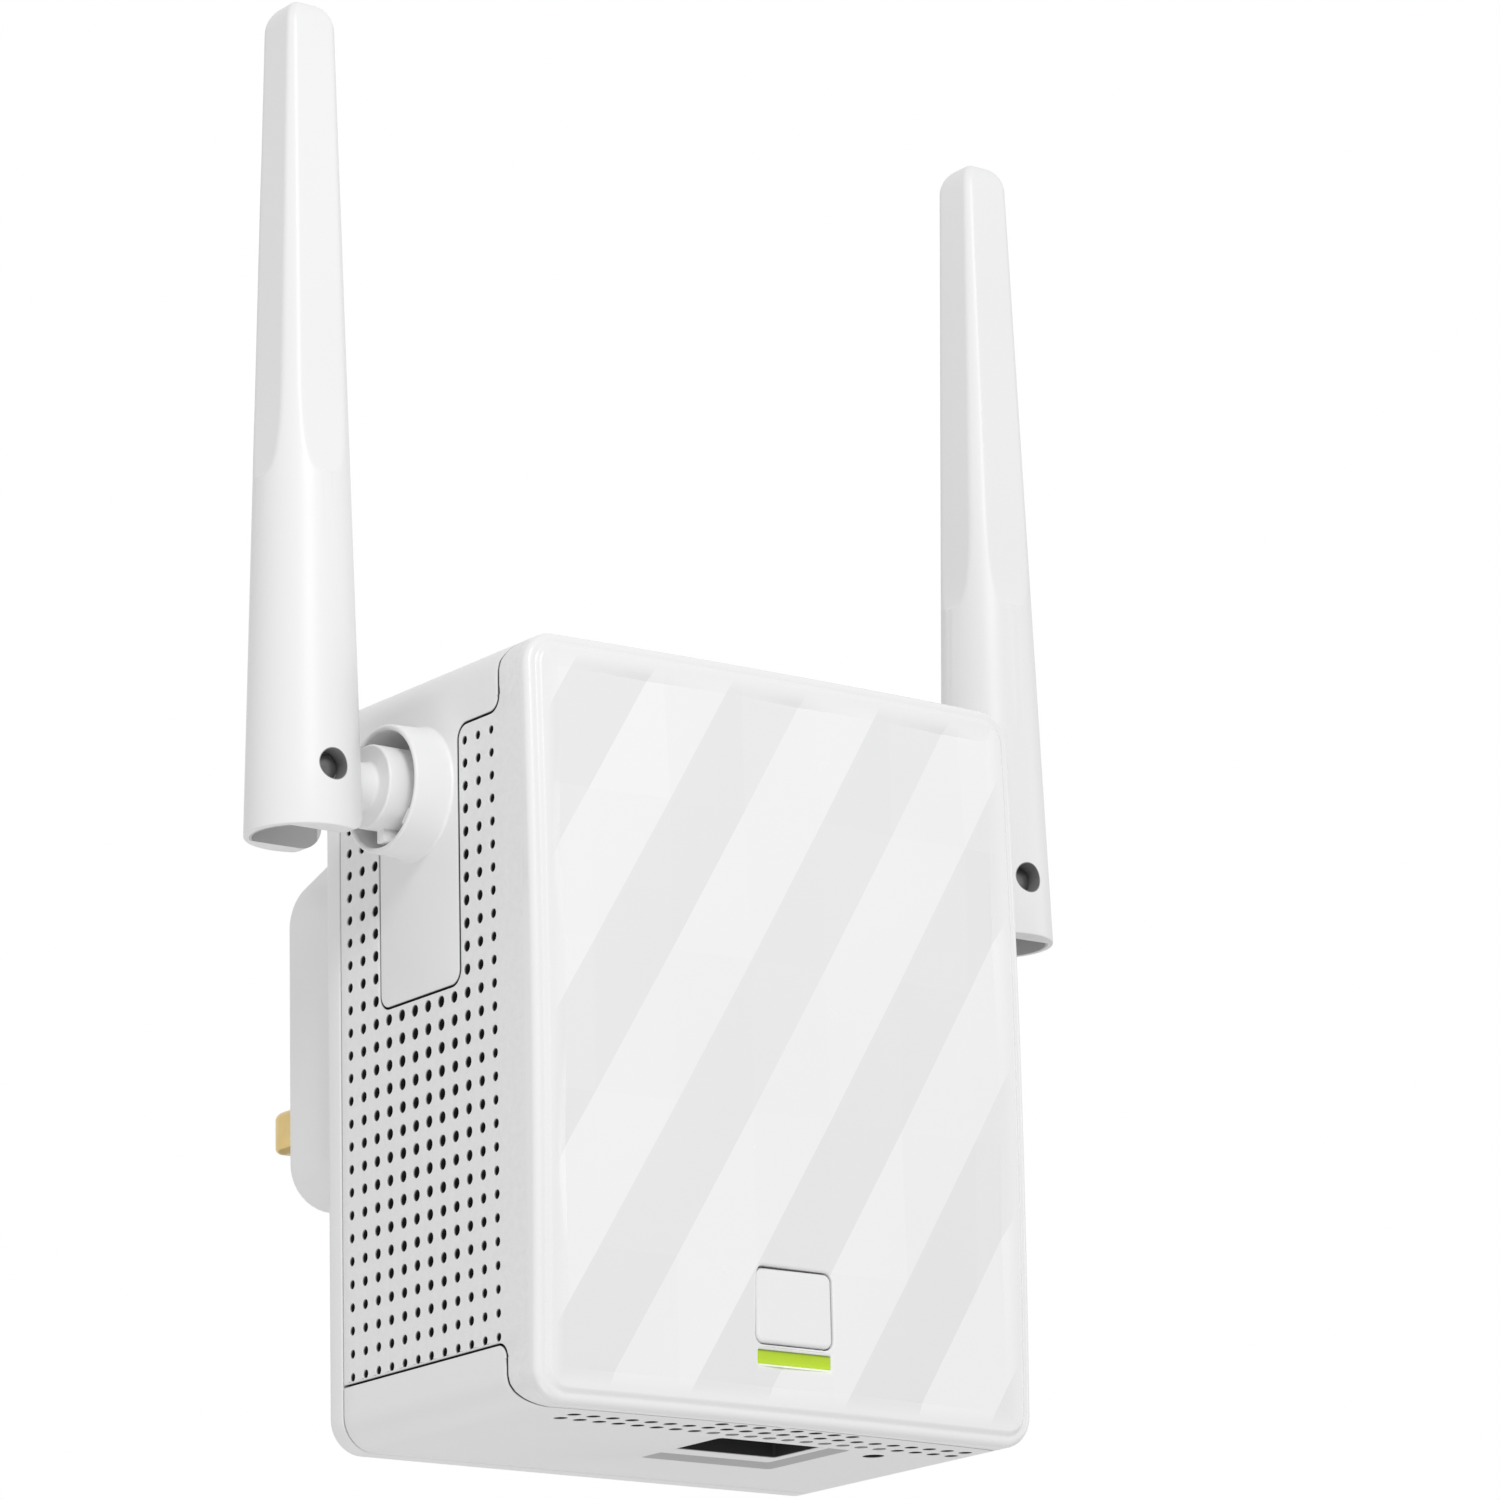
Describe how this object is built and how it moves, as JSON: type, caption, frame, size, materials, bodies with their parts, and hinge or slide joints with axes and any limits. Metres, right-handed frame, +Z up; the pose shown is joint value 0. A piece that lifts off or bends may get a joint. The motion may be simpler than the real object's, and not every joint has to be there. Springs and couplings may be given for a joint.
{
  "type": "wifi range extender",
  "caption": "Plug-in wifi range extender: a vented wall box with a domed front, a press button over a light bar, a network port below and aerials that swivel and fold.",
  "frame": {"origin": "on the rear face of the plug block, midway between the centre lines of the line and neutral pins", "axes": "+X to the right seen from the front, +Y into the wall along the pins, +Z up along the aerials at rest; the domed front looks towards -Y"},
  "size_m": [0.0852, 0.0651, 0.1249],
  "materials": {
    "white_plastic": "satin moulded ABS, vent walls lightly textured",
    "black_plastic": "satin black nylon",
    "light_pipe": "clear acrylic lit lime green",
    "board_laminate": "green solder mask",
    "power_laminate": "bare brown laminate",
    "chip_resin": "moulded epoxy",
    "tinned_steel": "tinned or zinc-plated steel",
    "brass": "plain and gold-plated brass",
    "led_lens": "clear resin",
    "capacitor_sleeve": "shrink sleeve",
    "winding_tape": "polyester tape",
    "fuse_body": "coated ceramic",
    "coax_jacket": "smooth jacket",
    "insulating_film": "thin polyester film"
  },
  "bodies": {
    "case": {"board_link": "black_plastic", "board_screw_lower_left": "tinned_steel", "board_screw_lower_right": "tinned_steel", "board_screw_upper_left": "tinned_steel", "board_screw_upper_right": "tinned_steel", "button_switch": "tinned_steel", "clock_crystal": "tinned_steel", "earth_pin": "white_plastic", "ethernet_jack": "black_plastic", "front_cover": "white_plastic", "input_capacitor": "capacitor_sleeve", "input_fuse": "fuse_body", "insulating_sheet": "insulating_film", "jack_contacts": "brass", "lan_transformer": "chip_resin", "left_coax": "coax_jacket", "light_pipe": "light_pipe", "line_contact": "brass", "line_pin": "brass", "line_pin_sleeve": "black_plastic", "main_board": "board_laminate", "main_housing": "white_plastic", "memory_chip": "chip_resin", "neutral_contact": "brass", "neutral_pin": "brass", "neutral_pin_sleeve": "black_plastic", "output_capacitor": "capacitor_sleeve", "power_board": "power_laminate", "power_transformer": "winding_tape", "rear_cover": "white_plastic", "rectifier": "chip_resin", "regulator_chip": "chip_resin", "reset_switch": "tinned_steel", "rf_shield": "tinned_steel", "right_coax": "coax_jacket", "status_led": "led_lens", "wifi_chip": "chip_resin"},
    "button": {"pairing_button": "white_plastic", "button_plunger": "black_plastic"},
    "reset_button": {"reset_plunger": "black_plastic"},
    "left_swivel_body": {"left_swivel": "white_plastic", "left_swivel_clip": "tinned_steel"},
    "left_aerial": {"left_aerial_shell": "white_plastic", "left_hinge_pin": "tinned_steel", "left_aerial_element": "brass"},
    "right_swivel_body": {"right_swivel": "white_plastic", "right_swivel_clip": "tinned_steel"},
    "right_aerial": {"right_aerial_shell": "white_plastic", "right_hinge_pin": "tinned_steel", "right_aerial_element": "brass"}
  },
  "joints": [
    {"name": "left_swivel_turn", "type": "hinge", "parent": "case", "child": "left_swivel_body", "pos_m": [-0.026, -0.0242, 0.0209], "axis": [1, 0, 0], "range_deg": [-25, 295]},
    {"name": "left_aerial_fold", "type": "hinge", "parent": "left_swivel_body", "child": "left_aerial", "pos_m": [-0.0375, -0.0242, 0.0209], "axis": [0, -1, 0], "range_deg": [0, 90]},
    {"name": "right_swivel_turn", "type": "hinge", "parent": "case", "child": "right_swivel_body", "pos_m": [0.026, -0.0242, 0.0209], "axis": [1, 0, 0], "range_deg": [-25, 295]},
    {"name": "right_aerial_fold", "type": "hinge", "parent": "right_swivel_body", "child": "right_aerial", "pos_m": [0.0375, -0.0242, 0.0209], "axis": [0, 1, 0], "range_deg": [0, 90]},
    {"name": "button_press", "type": "slide", "parent": "case", "child": "button", "axis": [0, 1, 0], "range_m": [0, 0.0005], "stiffness_N_per_m": 1500, "springref_m": -0.0002},
    {"name": "reset_press", "type": "slide", "parent": "case", "child": "reset_button", "axis": [0, 0, 1], "range_m": [0, 0.00025], "stiffness_N_per_m": 1500, "springref_m": -0.0002}
  ]
}
